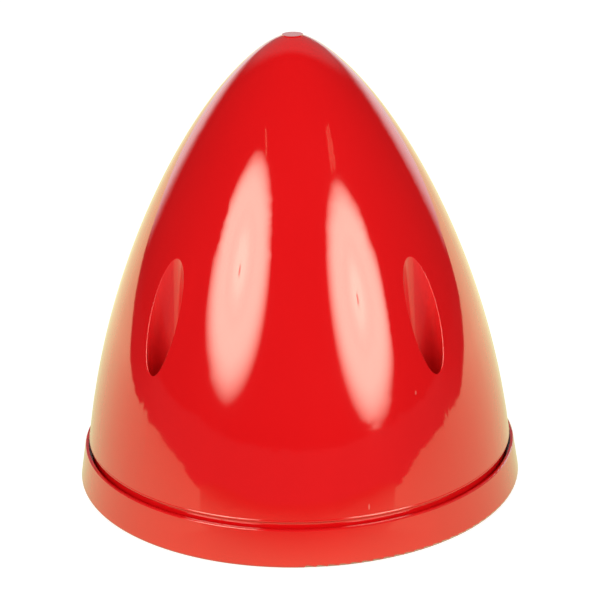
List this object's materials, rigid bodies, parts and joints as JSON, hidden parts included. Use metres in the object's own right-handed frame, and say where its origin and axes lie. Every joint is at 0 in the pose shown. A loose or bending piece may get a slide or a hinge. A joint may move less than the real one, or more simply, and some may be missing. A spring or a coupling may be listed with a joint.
{
  "type": "propeller spinner",
  "caption": "Pointed dome spinner for a model aircraft propeller: a hollow moulded nose cone held on a shallow cup backplate by screws in deep driver pockets.",
  "frame": {"origin": "centre of the backplate's flat rear face, on the crankshaft's axis", "axes": "+Z forward along the shaft to the tip of the nose; +X and +Y square to it, midway between screws"},
  "size_m": [0.0758, 0.0758, 0.0764],
  "materials": {
    "red_plastic": "glossy moulded",
    "screw_steel": "bright zinc plated"
  },
  "bodies": {
    "root": {"nose_cone": "red_plastic", "backplate": "red_plastic", "cone_screws": "screw_steel"}
  },
  "joints": []
}
